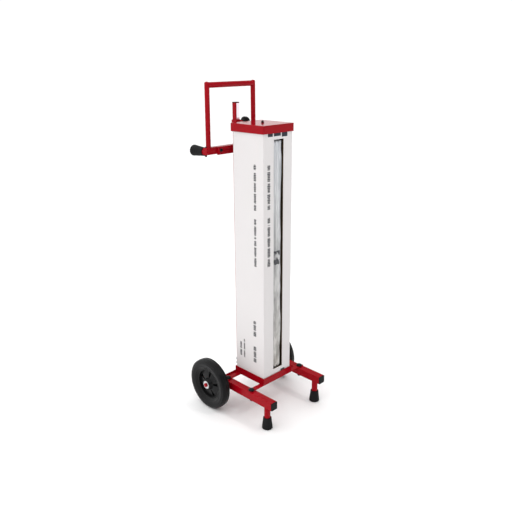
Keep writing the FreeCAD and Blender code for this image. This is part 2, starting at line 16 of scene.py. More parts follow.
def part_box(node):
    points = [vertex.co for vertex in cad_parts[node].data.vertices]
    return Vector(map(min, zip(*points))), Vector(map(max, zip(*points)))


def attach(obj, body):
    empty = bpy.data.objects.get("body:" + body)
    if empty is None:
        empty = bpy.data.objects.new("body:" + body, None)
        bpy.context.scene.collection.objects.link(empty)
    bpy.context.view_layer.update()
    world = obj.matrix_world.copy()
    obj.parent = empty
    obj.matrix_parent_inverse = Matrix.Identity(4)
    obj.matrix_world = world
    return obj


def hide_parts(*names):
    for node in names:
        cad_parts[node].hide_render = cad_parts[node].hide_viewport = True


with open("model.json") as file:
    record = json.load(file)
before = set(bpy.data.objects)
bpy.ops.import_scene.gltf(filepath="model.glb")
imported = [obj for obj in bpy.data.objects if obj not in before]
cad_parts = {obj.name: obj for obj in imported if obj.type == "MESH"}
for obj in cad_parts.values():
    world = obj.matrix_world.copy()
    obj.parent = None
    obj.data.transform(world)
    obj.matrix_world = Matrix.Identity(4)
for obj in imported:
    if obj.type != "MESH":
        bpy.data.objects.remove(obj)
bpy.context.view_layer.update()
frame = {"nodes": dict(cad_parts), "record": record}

random.seed(11)

MM = 0.001
SIDES = ("left", "right")
NODES = frame["nodes"]
RECORD = frame["record"]
SLOT_OF = {part["node"]: part["material_slot"] for part in RECORD["subparts"]}


def opening(name):
    """Lowest and highest corner of an opening that the record states."""
    stated = {o["name"]: o["box_m"] for o in RECORD["physics"]["openings"]}
    low, high = stated[name]
    return Vector(low), Vector(high)


# ---------------------------------------------------------------- finishes
class Finish:
    """A Principled material, with short calls for the nodes that drive it."""

    def __init__(self, name, **fixed):
        self.material = bpy.data.materials.new(name)
        self.material.use_nodes = True
        self.tree = self.material.node_tree
        self.shader = self.tree.nodes["Principled BSDF"]
        for socket, value in fixed.items():
            self.shader.inputs[socket.replace("_", " ")].default_value = value
        self.place = self.node("ShaderNodeTexCoord").outputs["Object"]
        self.height = None

    def node(self, kind, **settings):
        made = self.tree.nodes.new(kind)
        for key, value in settings.items():
            setattr(made, key, value)
        return made

    def link(self, source, target):
        self.tree.links.new(source, target)

    def noise(self, scale, detail=3.0, stretch=(1, 1, 1)):
        """Cloudy values round 0.5; the scale is in features to the metre."""
        mapping = self.node("ShaderNodeMapping")
        mapping.inputs["Scale"].default_value = stretch
        self.link(self.place, mapping.inputs["Vector"])
        made = self.node("ShaderNodeTexNoise")
        made.inputs["Scale"].default_value = scale
        made.inputs["Detail"].default_value = detail
        self.link(mapping.outputs["Vector"], made.inputs["Vector"])
        return made.outputs["Fac"]

    def math(self, operation, first, second=None):
        made = self.node("ShaderNodeMath", operation=operation)
        for socket, value in zip(made.inputs, (first, second)):
            if isinstance(value, (int, float)):
                socket.default_value = value
            elif value is not None:
                self.link(value, socket)
        return made.outputs[0]

    def spread(self, source, low, high, start=0.3, end=0.7):
        """Map a texture value to a number between low and high."""
        made = self.node("ShaderNodeMapRange")
        self.link(source, made.inputs["Value"])
        for key, value in (("From Min", start), ("From Max", end), ("To Min", low), ("To Max", high)):
            made.inputs[key].default_value = value
        return made.outputs["Result"]

    def mix(self, factor, first, second):
        """A colour between two; each is a colour or another node's output."""
        made = self.node("ShaderNodeMix", data_type="RGBA")
        self.link(factor, made.inputs["Factor"])
        for key, value in (("A", first), ("B", second)):
            socket = [s for s in made.inputs if s.name == key and s.type == "RGBA"][0]
            if isinstance(value, tuple):
                socket.default_value = (*value, 1.0)
            else:
                self.link(value, socket)
        return [s for s in made.outputs if s.type == "RGBA"][0]

    def colour(self, source):
        self.link(source, self.shader.inputs["Base Color"])

    def roughness(self, source):
        self.link(source, self.shader.inputs["Roughness"])

    def bump(self, source, depth, strength=1.0):
        """Add a relief of the given depth in metres to the surface."""
        made = self.node("ShaderNodeBump")
        made.inputs["Strength"].default_value = strength
        made.inputs["Distance"].default_value = depth
        self.link(source, made.inputs["Height"])
        if self.height is not None:
            self.link(self.height, made.inputs["Normal"])
        self.height = made.outputs["Normal"]
        self.link(self.height, self.shader.inputs["Normal"])


def shade(colour, factor):
    return tuple(channel * factor for channel in colour)


def powder_coat(name, colour, gloss, roughness):
    """Stoved paint: a slight orange peel, and a little dust that dulls it in patches."""
    paint = Finish(name, Specular_IOR_Level=gloss)
    patches = paint.noise(14, 4)
    paint.colour(paint.mix(paint.spread(patches, 0, 1), shade(colour, 0.93), shade(colour, 1.06)))
    paint.roughness(paint.spread(paint.noise(45, 5), roughness * 0.85, roughness * 1.2))
    paint.bump(paint.noise(900, 2), 0.05 * MM, 0.35)
    paint.bump(paint.noise(60, 1), 0.25 * MM, 0.2)
    return paint.material


def moulded(name, colour, gloss, roughness, grain, depth):
    """Moulded plastic or rubber with a fine grain and a greyish bloom."""
    made = Finish(name, Specular_IOR_Level=gloss)
    bloom = made.noise(30, 5)
    made.colour(made.mix(made.spread(bloom, 0, 1), shade(colour, 0.8), shade(colour, 1.35)))
    made.roughness(made.spread(bloom, roughness * 0.9, min(1.0, roughness * 1.15)))
    made.bump(made.noise(grain, 3), depth, 0.5)
    return made.material


def metal(name, colour, roughness, stretch):
    """Bare or plated steel with drawn streaks."""
    made = Finish(name, Metallic=1.0)
    streaks = made.noise(500, 4, stretch)
    made.colour(made.mix(made.spread(streaks, 0, 1), shade(colour, 0.9), colour))
    made.roughness(made.spread(streaks, roughness * 0.7, roughness * 1.4))
    made.bump(streaks, 0.02 * MM, 0.3)
    return made.material


FINISHES = {
    "red_paint": powder_coat("red_powder_coat", (0.31, 0.001, 0.007), 0.10, 0.20),
    "black_plastic": moulded("black_plastic", (0.004, 0.004, 0.0045), 0.10, 0.42, 1500, 0.03 * MM),
    "hub_plastic": moulded("hub_plastic", (0.005, 0.005, 0.0055), 0.15, 0.30, 1300, 0.04 * MM),
    "grey_plastic": moulded("grey_plastic", (0.40, 0.41, 0.42), 0.4, 0.45, 1500, 0.03 * MM),
    "tyre_rubber": moulded("tyre_rubber", (0.005, 0.005, 0.0055), 0.15, 0.32, 1100, 0.07 * MM),
    "black_rubber": moulded("black_rubber", (0.008, 0.008, 0.0085), 0.12, 0.6, 1200, 0.06 * MM),
    "black_bolt": moulded("black_bolt", (0.005, 0.005, 0.0055), 0.14, 0.30, 1800, 0.02 * MM),
    "zinc_steel": metal("zinc_plate", (0.66, 0.68, 0.69), 0.28, (1, 1, 1)),
    "bright_steel": metal("bright_strip", (0.92, 0.80, 0.86), 0.07, (1, 1, 0.02)),
}
GLOSS_RED = powder_coat("red_gloss_top", (0.31, 0.002, 0.008), 0.10, 0.12)
DULL_ZINC = metal("dull_zinc", (0.20, 0.20, 0.21), 0.45, (1, 1, 1))
OWN_FINISH = {"top_plate": GLOSS_RED, "mast_bolts": DULL_ZINC, "mast_nuts": DULL_ZINC}


def board_finish(name, colour):
    """The white liner of corrugated board: pressed fibres and faint upright flutes."""
    made = Finish(name, Specular_IOR_Level=0.2)
    fibres = made.noise(420, 4, (1, 1, 0.12))
    cloud = made.noise(9, 3)
    base = made.mix(made.spread(fibres, 0, 1), shade(colour, 0.975), colour)
    soft = made.mix(made.spread(cloud, 0, 0.5), base, shade(colour, 0.955))
    made.roughness(made.spread(fibres, 0.55, 0.72))
    made.bump(fibres, 0.04 * MM, 0.5)
    return made, soft


def core_board():
    """The wound board of the roll's core."""
    made, soft = board_finish("wound_core_board", (0.36, 0.25, 0.15))
    made.colour(soft)
    return made.material


def board_edge():
    """The cut edge of the board: brown liner colour, broken by near-black cells that are painted shade in the
    hollows of the flutes.
    """
    made = Finish("board_cut_edge", Specular_IOR_Level=0.1)
    cells = made.noise(330, 2)
    # the brown is the board's own colour, and the near-black is painted shade in the flutes' hollows
    made.colour(made.mix(made.spread(cells, 0, 1, 0.4, 0.6), (0.07, 0.05, 0.032), (0.24, 0.18, 0.115)))
    made.roughness(made.spread(cells, 0.75, 0.9))
    made.bump(cells, 0.4 * MM, 0.8)
    return made.material


# ---------------------------------------------------------------- the carton's printing
INK = (0.016, 0.017, 0.022)
GREY_INK = (0.03, 0.033, 0.045)


class Print:
    """Bars of ink on a face of the carton, in place of any words."""

    def __init__(self, finish):
        self.finish = finish
        parts = finish.node("ShaderNodeSeparateXYZ")
        finish.link(finish.place, parts.inputs["Vector"])
        self.axes = dict(zip("xyz", parts.outputs))

    def within(self, source, low, high):
        """1 where the value lies between two limits, and 0 elsewhere."""
        above = self.finish.math("GREATER_THAN", source, low)
        below = self.finish.math("LESS_THAN", source, high)
        return self.finish.math("MULTIPLY", above, below)

    def face(self, axis, place):
        """1 on the carton's outer face that lies at this place along the axis."""
        skin = 1.2 * MM
        return self.within(self.axes[axis], place - skin, place + skin)

    def bars(self, across, u_range, z_range, pitch, seed):
        """Short bars of uneven height that run up the face, like a line of marks."""
        make = self.finish
        step = make.math("DIVIDE", self.axes["z"], pitch)
        cell = make.math("ADD", make.math("FLOOR", step), seed)
        dice = make.node("ShaderNodeTexWhiteNoise", noise_dimensions="1D")
        make.link(cell, dice.inputs["W"])
        middle = (u_range[0] + u_range[1]) / 2
        half = (u_range[1] - u_range[0]) / 2
        reach = make.spread(dice.outputs["Value"], 0.85 * half, 1.15 * half, 0, 1)
        offset = make.math("ABSOLUTE", make.math("SUBTRACT", self.axes[across], middle))
        inked = make.math("LESS_THAN", offset, reach)
        gap = self.within(make.math("FRACT", step), 0.10, 0.93)
        word = make.math("FRACT", make.math("DIVIDE", self.axes["z"], 6.4 * pitch))
        spaced = make.math("LESS_THAN", word, 0.86)
        blank = make.math("GREATER_THAN", dice.outputs["Value"], 0.03)
        mask = self.within(self.axes["z"], *z_range)
        for part in (inked, gap, spaced, blank):
            mask = make.math("MULTIPLY", mask, part)
        return mask

    def block(self, across, u_range, z_range):
        return self.finish.math("MULTIPLY", self.within(self.axes[across], *u_range),
                                self.within(self.axes["z"], *z_range))

    def union(self, masks):
        total = masks[0]
        for mask in masks[1:]:
            total = self.finish.math("MAXIMUM", total, mask)
        return total


def carton_board():
    """White liner with plain bars printed up the left and the front face."""
    made, soft = board_finish("white_lined_board", (0.73, 0.705, 0.705))
    ink = Print(made)
    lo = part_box("carton")[0]

    def up(millimetres):
        return lo.z + millimetres * MM

    def span(start, end):
        """A height range above the carton's floor, from millimetres."""
        return up(start), up(end)

    side_line = (lo.y + 37 * MM, lo.y + 47.5 * MM)
    side_block = (lo.y + 41.5 * MM, lo.y + 55 * MM)
    front_line = (lo.x + 20 * MM, lo.x + 33 * MM)
    on_side = ink.union([
        ink.bars("y", side_line, span(670, 832), 6.1 * MM, 3),
        ink.bars("y", side_line, span(460, 640), 6.1 * MM, 9),
        ink.bars("y", side_block, span(184, 247), 4.3 * MM, 21),
        ink.bars("y", side_block, span(76, 142), 4.3 * MM, 27),
        ink.bars("y", (lo.y + 120 * MM, lo.y + 129 * MM), span(80, 143), 5.2 * MM, 33),
        ink.bars("y", (lo.y + 102 * MM, lo.y + 109 * MM), span(77, 154), 5.2 * MM, 40),
    ])
    on_front = ink.union([
        ink.bars("x", front_line, span(673, 831), 6.1 * MM, 52),
        ink.bars("x", front_line, span(466, 647), 6.1 * MM, 60),
        ink.block("x", (lo.x + 91 * MM, lo.x + 114 * MM), span(14, 31)),
    ])
    under_cap = ink.union([
        ink.block("x", (lo.x + 22 * MM, lo.x + 46 * MM), span(926, 941)),
        ink.block("x", (lo.x + 51 * MM, lo.x + 85 * MM), span(926, 940)),
        ink.block("x", (lo.x + 90 * MM, lo.x + 118 * MM), span(922, 941)),
    ])
    side = made.math("MULTIPLY", on_side, ink.face("x", lo.x))
    front = made.math("MULTIPLY", on_front, ink.face("y", lo.y))
    label = made.math("MULTIPLY", under_cap, ink.face("y", lo.y))
    worn = made.spread(made.noise(700, 2), 0.85, 1.0)
    printed = made.mix(made.math("MULTIPLY", ink.union([side, front]), worn), soft, INK)
    made.colour(made.mix(label, printed, GREY_INK))
    return made.material


def film_finish():
    """Many layers of thin milky film: bright, with fine upright streaks."""
    made = Finish("thin_film", Specular_IOR_Level=0.5, Coat_Weight=0.3, Coat_Roughness=0.12)
    layers = made.noise(260, 3, (1, 1, 0.05))
    cloud = made.noise(16, 3, (1, 1, 0.35))
    pale = made.mix(made.spread(cloud, 0, 1), (0.90, 0.91, 0.93), (0.96, 0.96, 0.97))
    made.colour(made.mix(made.spread(layers, 0, 0.35), pale, (0.76, 0.78, 0.82)))
    made.roughness(made.spread(cloud, 0.22, 0.38))
    made.bump(layers, 0.2 * MM, 0.5)
    return made.material


def loose_film():
    """The film's free end: upright streaks of painted shade and painted light along its folds, with a dark
    blotch across it.
    """
    made = Finish("loose_film", Specular_IOR_Level=0.5, Coat_Weight=0.3, Coat_Roughness=0.1)
    streaks = made.noise(60, 4, (1, 1, 0.06))
    # the streaks between dark and pale grey are painted shade and painted light of the folds
    clear = made.mix(made.spread(streaks, 0, 1, 0.35, 0.65), (0.40, 0.42, 0.45), (0.80, 0.81, 0.84))
    low, high = opening("film_slot")
    patch_z, patch_half = (low.z + high.z) / 2 + 8 * MM, 26 * MM
    marks = Print(made)
    # the colour grows duller and warmer towards the bottom, and there it is darkened in patches by painted
    # shade in the creases
    height = made.spread(marks.axes["z"], 1, 0, low.z, high.z)
    crease_shade = made.spread(made.noise(34, 5, (1, 1, 0.5)), 0, 1, 0.38, 0.62)
    dull = made.mix(crease_shade, (0.30, 0.285, 0.26), (0.66, 0.64, 0.61))
    pale = made.mix(height, clear, dull)
    patch = marks.block("x", (low.x + 4 * MM, high.x - 6 * MM), (patch_z - patch_half, patch_z + patch_half))
    blot = made.spread(made.noise(48, 2), 0, 1, 0.40, 0.48)
    made.colour(made.mix(made.math("MULTIPLY", patch, blot), pale, (0.05, 0.052, 0.06)))
    made.roughness(made.spread(streaks, 0.2, 0.36))
    made.bump(streaks, 0.3 * MM, 0.5)
    return made.material


def kraft_liner():
    """The carton's brown inner liner."""
    made, soft = board_finish("kraft_liner", (0.15, 0.105, 0.065))
    made.colour(soft)
    return made.material


FINISHES["core_board"] = core_board()
FINISHES["film"] = film_finish()
CARTON_BOARD = carton_board()
BOARD_EDGE = board_edge()
KRAFT_LINER = kraft_liner()
LOOSE_FILM = loose_film()


# ---------------------------------------------------------------- mesh helpers
def link_piece(name, mesh, body, finishes, smooth=True):
    """Put a finished mesh in the scene, riding on a CAD body."""
    obj = bpy.data.objects.new(name, mesh)
    bpy.context.scene.collection.objects.link(obj)
    for finish in finishes:
        mesh.materials.append(finish)
    mesh.polygons.foreach_set("use_smooth", [smooth] * len(mesh.polygons))
    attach(obj, body)
    return obj


def bmesh_piece(name, bm, body, finishes, smooth=True):
    """Turn a finished bmesh into a piece, with its faces turned outward."""
    bmesh.ops.recalc_face_normals(bm, faces=bm.faces)
    mesh = bpy.data.meshes.new(name)
    bm.to_mesh(mesh)
    bm.free()
    return link_piece(name, mesh, body, finishes, smooth)


def frame_of(axis):
    """A rotation that carries +Z to the axis."""
    return Vector((0, 0, 1)).rotation_difference(Vector(axis)).to_matrix()


def turned_mesh(bm, outline, centre, axis, steps, shape=None):
    """Revolve a closed outline of (radius, along) points; shape(r, h, angle) may move them."""
    turn, centre = frame_of(axis), Vector(centre)
    rings = []
    for k in range(steps):
        angle = tau * k / steps
        ring = []
        for radius, along in outline:
            r, h = shape(radius, along, angle) if shape else (radius, along)
            ring.append(bm.verts.new(centre + turn @ Vector((r * cos(angle), r * sin(angle), h))))
        rings.append(ring)
    for ring, after in zip(rings, rings[1:] + rings[:1]):
        for i in range(len(outline)):
            j = (i + 1) % len(outline)
            bm.faces.new((ring[i], after[i], after[j], ring[j]))


def turned(name, outline, centre, axis, steps, body, slot, shape=None):
    """A revolved piece with its slot's finish."""
    bm = bmesh.new()
    turned_mesh(bm, outline, centre, axis, steps, shape)
    return bmesh_piece(name, bm, body, [FINISHES[slot]])


def soften_edges(obj, width, steps=2, angle=38):
    """Round an object's sharp edges with modifiers, and keep its flat faces flat."""
    weld = obj.modifiers.new("weld", "WELD")
    weld.merge_threshold = 0.002 * MM
    bevel = obj.modifiers.new("bevel", "BEVEL")
    bevel.width = width
    bevel.segments = steps
    bevel.limit_method = "ANGLE"
    bevel.angle_limit = radians(angle)
    bevel.use_clamp_overlap = True
    flat = obj.modifiers.new("normals", "WEIGHTED_NORMAL")
    flat.keep_sharp = True
    flat.weight = 60


# ---------------------------------------------------------------- the frame's own parts
EDGE_WIDTH = {
    "red_paint": 0.5 * MM, "black_plastic": 0.5 * MM, "hub_plastic": 0.5 * MM, "grey_plastic": 0.4 * MM,
    "black_rubber": 0.5 * MM, "black_bolt": 0.3 * MM, "zinc_steel": 0.25 * MM, "bright_steel": 0.15 * MM,
    "core_board": 0.3 * MM,
}


def dress_frame():
    """Give every CAD part its finish and slightly rounded edges."""
    for name, obj in NODES.items():
        finish = OWN_FINISH.get(name, FINISHES.get(SLOT_OF[name]))
        if finish is None:
            continue
        obj.data.materials.clear()
        obj.data.materials.append(finish)
        width = EDGE_WIDTH.get(SLOT_OF[name])
        if width:
            soften_edges(obj, width)


# ---------------------------------------------------------------- weld beads
def bead(name, route, radius, body, closed=False):
    """A rippled weld bead along a route, half sunk in the joint."""
    bm = bmesh.new()
    ripple = 2.2 * MM
    points_to_a_ripple = 3
    around = 8
    points = []
    legs = list(zip(route, route[1:] + route[:1])) if closed else list(zip(route, route[1:]))
    for start, end in legs:
        count = max(2, ceil((end - start).length / (ripple / points_to_a_ripple)))
        points += [start.lerp(end, k / count) for k in range(count)]
    if not closed:
        points.append(route[-1])
    travelled = 0.0
    rings = []
    for k, here in enumerate(points):
        before = points[k - 1] if k or closed else here
        after = points[(k + 1) % len(points)] if k + 1 < len(points) or closed else here
        along = (after - before).normalized()
        travelled += (here - before).length if k else 0.0
        swell = radius * (0.86 + 0.14 * abs(sin(pi * travelled / ripple)))
        turn = frame_of(along)
        spots = [Vector((cos(tau * j / around), sin(tau * j / around), 0)) for j in range(around)]
        rings.append([bm.verts.new(here + turn @ (swell * spot)) for spot in spots])
    pairs = zip(rings, rings[1:] + rings[:1]) if closed else zip(rings, rings[1:])
    for ring, after in pairs:
        for j in range(around):
            bm.faces.new((ring[j], ring[(j + 1) % around], after[(j + 1) % around], after[j]))
    if not closed:
        bm.faces.new(rings[0])
        bm.faces.new(rings[-1])
    return bmesh_piece(name, bm, body, [FINISHES["red_paint"]])


def ring_route(centre, radius, axis, steps=36):
    """Points round a tube's end, for a closed bead."""
    turn = frame_of(axis)
    return [Vector(centre) + turn @ Vector((radius * cos(tau * k / steps), radius * sin(tau * k / steps), 0))
            for k in range(steps)]


def ring_bead(name, centre, radius, axis, size):
    """A closed bead round the end of one of the stand's tubes."""
    bead(name, ring_route(centre, radius, axis), size, "stand", closed=True)


def middle(name):
    """The centre of a CAD part's box."""
    lo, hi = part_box(name)
    return (lo + hi) / 2


def weld_frame():
    """Beads where the frame's tubes, angles and plates meet."""
    size, small = 1.3 * MM, 1.2 * MM
    for side in SIDES:
        lo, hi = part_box(side + "_foot_post")
        top = (*middle(side + "_foot_post").xy, hi.z)
        ring_bead(side + "_foot_post_weld", top, (hi.x - lo.x) / 2, (0, 0, 1), size)

        # the post leans inward, so its foot is at the outer end of its box
        lo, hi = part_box(side + "_handle_post")
        post_r = (hi.y - lo.y) / 2
        foot_x = hi.x - post_r if side == "right" else lo.x + post_r
        foot = (foot_x, middle(side + "_handle_post").y, lo.z)
        ring_bead(side + "_handle_post_weld", foot, post_r, (0, 0, 1), size)

        lo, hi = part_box(side + "_buffer_stub")
        centre = middle(side + "_buffer_stub")
        ring_bead(side + "_buffer_stub_weld", (centre.x, lo.y, centre.z), (hi.x - lo.x) / 2, (0, 1, 0), size)

        lo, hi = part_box("mast_bracket")
        angle_lo, angle_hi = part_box("rear_cross_angle")
        x = hi.x if side == "right" else lo.x
        route = [Vector((x, lo.y, angle_lo.z)), Vector((x, lo.y, angle_hi.z - 1 * MM))]
        bead(side + "_mast_bracket_weld", route, size, "stand")

        tray_lo, tray_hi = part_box(side + "_tray_angle")
        outer = tray_hi.x if side == "right" else tray_lo.x
        for end, y in (("front", tray_lo.y), ("rear", tray_hi.y)):
            route = [Vector((outer, y, tray_lo.z + 4 * MM)), Vector((outer, y, tray_hi.z - 1 * MM))]
            bead(f"{side}_tray_{end}_weld", route, small, "stand")

    cleat_lo, cleat_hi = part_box("mast_cleat")
    mast_lo, mast_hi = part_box("mast")
    for x, label in ((mast_lo.x, "left"), (mast_hi.x, "right")):
        route = [Vector((x, cleat_lo.y, cleat_lo.z)), Vector((x, cleat_lo.y, cleat_hi.z))]
        bead(f"mast_cleat_{label}_weld", route, size, "stand")
    bracket_lo, bracket_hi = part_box("plate_bracket")
    for y, label in ((bracket_lo.y, "plate"), (bracket_hi.y, "collar")):
        low, high = bracket_lo.z + 2 * MM, bracket_hi.z
        route = [Vector((bracket_lo.x, y, low)), Vector((bracket_lo.x, y, high)),
                 Vector((bracket_hi.x, y, high)), Vector((bracket_hi.x, y, low))]
        bead(f"plate_bracket_{label}_weld", route, small, "clamp_plate")


# ---------------------------------------------------------------- carton
BOARD = 3.0 * MM
CREASE_R = 2.0 * MM
CREASE_STEPS = 4
OUTER_LINER, CUT_EDGE, INNER_LINER = 0, 1, 2


def perimeter(lo, hi, slot_x, inner):
    """Points round the carton's wall, seen from above, from the front left corner.

    The outer and the inner line have the same number of points, so they can be joined.
    """
    spacing = 12 * MM
    front_x = [lo.x + CREASE_R, slot_x[0], slot_x[1], hi.x - CREASE_R]

    def run(start, end):
        count = max(1, ceil(abs(end - start) / spacing))
        return [start + (end - start) * k / count for k in range(1, count + 1)]

    xs = [front_x[0]]
    for start, end in zip(front_x, front_x[1:]):
        xs += run(start, end)
    ys = [lo.y + CREASE_R] + run(lo.y + CREASE_R, hi.y - CREASE_R)
    back = [hi.x - CREASE_R] + run(hi.x - CREASE_R, lo.x + CREASE_R)
    x0, x1, y0, y1 = (lo.x, hi.x, lo.y, hi.y)
    if inner:
        x0, x1, y0, y1 = x0 + BOARD, x1 - BOARD, y0 + BOARD, y1 - BOARD

    def corner(cx, cy, start, sharp):
        if inner:
            return [sharp] * (CREASE_STEPS - 1)
        turns = [start + pi / 2 * k / CREASE_STEPS for k in range(1, CREASE_STEPS)]
        return [(cx + CREASE_R * cos(t), cy + CREASE_R * sin(t)) for t in turns]

    def held(value, low, high):
        return min(max(value, low), high)

    points = [(held(x, x0, x1), y0) for x in xs]
    points += corner(hi.x - CREASE_R, lo.y + CREASE_R, -pi / 2, (x1, y0))
    points += [(x1, held(y, y0, y1)) for y in ys]
    points += corner(hi.x - CREASE_R, hi.y - CREASE_R, 0, (x1, y1))
    points += [(held(x, x0, x1), y1) for x in back]
    points += corner(lo.x + CREASE_R, hi.y - CREASE_R, pi / 2, (x0, y1))
    points += [(x0, held(y, y0, y1)) for y in reversed(ys)]
    points += corner(lo.x + CREASE_R, lo.y + CREASE_R, pi, (x0, y0))
    return points


def dent(point, lo, hi, outward):
    """Draw a point of the wall inward a little, unevenly, and most near the ends."""
    middle_z = (lo.z + hi.z) / 2
    towards_end = abs(point.z - middle_z) / ((hi.z - lo.z) / 2)
    broad, fine, deepest = 7.0, 23.0, 0.9
    wave = noise.noise(point * broad) + 0.5 * noise.noise(point * fine)
    depth = 0.35 + 0.3 * wave + 0.2 * towards_end ** 4
    return point - outward * max(0.0, min(deepest, depth)) * MM


def carton_shell(lo, hi, slot_x, slot_z):
    """The four walls, with the tall slot cut through the front one."""
    heights = [lo.z, slot_z[0], slot_z[1], hi.z]
    levels = [heights[0]]
    for start, end in zip(heights, heights[1:]):
        count = max(2, ceil((end - start) / (18 * MM)))
        levels += [start + (end - start) * k / count for k in range(1, count + 1)]
    lines = {part: perimeter(lo, hi, slot_x, part == "inner") for part in ("outer", "inner")}
    count = len(lines["outer"])
    centre = (lo + hi) / 2
    bm = bmesh.new()
    grid = {}
    for part, line in lines.items():
        for i, (x, y) in enumerate(line):
            ox, oy = lines["outer"][i]
            sides = (abs(ox - centre.x) / (hi.x - centre.x), abs(oy - centre.y) / (hi.y - centre.y))
            outward = Vector((1 if ox > centre.x else -1, 0, 0)) if sides[0] > sides[1] \
                else Vector((0, 1 if oy > centre.y else -1, 0))
            for j, z in enumerate(levels):
                shift = dent(Vector((ox, oy, z)), lo, hi, outward) - Vector((ox, oy, z))
                grid[part, i, j] = bm.verts.new(Vector((x, y, z)) + shift)

    def in_slot(i, j):
        on_front = all(abs(lines["outer"][k % count][1] - lo.y) < 0.01 * MM for k in (i, i + 1))
        x_mid = (lines["outer"][i][0] + lines["outer"][(i + 1) % count][0]) / 2
        z_mid = (levels[j] + levels[j + 1]) / 2
        return on_front and slot_x[0] < x_mid < slot_x[1] and slot_z[0] < z_mid < slot_z[1]

    def cut_edge(*corners):
        """A face of the board's thickness, between its outer and its inner skin."""
        bm.faces.new([grid[corner] for corner in corners]).material_index = CUT_EDGE

    last = len(levels) - 1
    for i in range(count):
        n = (i + 1) % count
        for j in range(last):
            if in_slot(i, j):
                continue
            for part in ("outer", "inner"):
                corners = [grid[part, i, j], grid[part, n, j], grid[part, n, j + 1], grid[part, i, j + 1]]
                wall = bm.faces.new(corners if part == "outer" else corners[::-1])
                wall.material_index = OUTER_LINER if part == "outer" else INNER_LINER
            for side_i, side_n in (((i - 1) % count, i), ((i + 1) % count, n)):
                if in_slot(side_i, j):
                    cut_edge(("outer", side_n, j), ("inner", side_n, j),
                             ("inner", side_n, j + 1), ("outer", side_n, j + 1))
            for near, level in ((j - 1, j), (j + 1, j + 1)):
                if 0 <= near < last and in_slot(i, near):
                    cut_edge(("outer", i, level), ("outer", n, level),
                             ("inner", n, level), ("inner", i, level))
        for level in (0, last):
            cut_edge(("outer", i, level), ("outer", n, level), ("inner", n, level), ("inner", i, level))
    bmesh.ops.remove_doubles(bm, verts=bm.verts, dist=0.001 * MM)
    return bm


def carton_flap(name, lo, hi, side, hole_r):
    """One of the two long flaps that close an end; the hole leaves room for the roll's hub."""
    clear, seam = 0.4 * MM, 0.5 * MM
    x0, x1 = lo.x + BOARD + clear, hi.x - BOARD - clear
    middle_y = (lo.y + hi.y) / 2
    outer_y = lo.y + BOARD + clear if side < 0 else hi.y - BOARD - clear
    inner_y = middle_y + side * seam / 2
    outline = [(x0, outer_y), (x1, outer_y), (x1, inner_y)]
    if hole_r:
        middle_x = (lo.x + hi.x) / 2
        steps = 24
        for k in range(steps + 1):
            angle = pi * k / steps
            outline.append((middle_x + hole_r * cos(angle), inner_y + side * hole_r * sin(angle)))
    outline.append((x0, inner_y))
    bm = bmesh.new()
    low = [bm.verts.new((x, y, lo.z)) for x, y in outline]
    high = [bm.verts.new((x, y, hi.z)) for x, y in outline]
    bm.faces.new(low)
    bm.faces.new(high)
    for k in range(len(outline)):
        n = (k + 1) % len(outline)
        bm.faces.new((low[k], low[n], high[n], high[k])).material_index = CUT_EDGE
    return bmesh_piece(name, bm, "stand", [CARTON_BOARD, BOARD_EDGE], smooth=False)


def build_carton():
    """The carton's walls and the four flaps that close its ends."""
    lo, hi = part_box("carton")
    margin = 0.5 * MM
    slot_lo, slot_hi = opening("film_slot")
    slot_x = (slot_lo.x - margin, slot_hi.x + margin)
    slot_z = (slot_lo.z - margin, slot_hi.z + margin)
    bm = carton_shell(lo, hi, slot_x, slot_z)
    boards = [CARTON_BOARD, BOARD_EDGE, KRAFT_LINER]
    shell = bmesh_piece("carton_walls", bm, "stand", boards, smooth=False)
    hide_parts("carton")
    hub_lo, hub_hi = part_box("upper_roll_hub")
    hole = (hub_hi.x - hub_lo.x) / 2 + 1.0 * MM
    for side, word in ((-1, "front"), (1, "rear")):
        top = carton_flap(f"carton_top_flap_{word}", Vector((lo.x, lo.y, hi.z - BOARD)), hi, side, hole)
        base = carton_flap(f"carton_base_flap_{word}", lo, Vector((hi.x, hi.y, lo.z + BOARD)), side, 0)
        for flap in (top, base):
            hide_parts("carton")


# ---------------------------------------------------------------- film roll
def build_film():
    """The roll, its outer turns pulled into soft upright folds, its ends slightly uneven."""
    lo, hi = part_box("film_roll")
    core_lo, core_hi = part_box("roll_core")
    outer, bore = (hi.x - lo.x) / 2, (core_hi.x - core_lo.x) / 2 + 0.05 * MM
    centre = (lo + hi) / 2
    folds = [(random.randint(9, 46), random.uniform(0, tau), random.uniform(2, 7), random.uniform(0.4, 1.0))
             for _ in range(6)]
    height = hi.z - lo.z
    fold_mm, swell_mm = 1.1, 1.6

    def fold_depth(angle, z):
        total = 0.0
        for count, phase, drift, weight in folds:
            bend = phase + 1.3 * sin(drift * z + phase)
            total += weight * (0.5 + 0.5 * sin(count * angle + bend))
        slow = noise.noise(Vector((cos(angle) * 2, sin(angle) * 2, z * 5)))
        return (fold_mm * total + swell_mm * (0.5 + slow)) * MM

    steps, rows, layers = 300, 64, 9
    outline = [(outer, -height / 2 + height * j / rows) for j in range(rows + 1)]
    outline += [(outer + (bore - outer) * k / layers, height / 2) for k in range(1, layers + 1)]
    outline += [(bore + (outer - bore) * k / layers, -height / 2) for k in range(layers)]

    def shape(r, h, angle):
        share = (r - bore) / (outer - bore)
        end = abs(h) > height / 2 - 0.01 * MM
        drop = fold_depth(angle, h) * share ** 3
        lift = 0.0
        if end:
            lift = (0.4 + 0.6 * noise.noise(Vector((r * 300, angle, h)))) * share * MM
        return r - drop, h - (lift if h > 0 else -lift)

    roll = turned("film_windings", outline, centre, (0, 0, 1), steps, "film", "film", shape)
    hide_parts("film_roll")


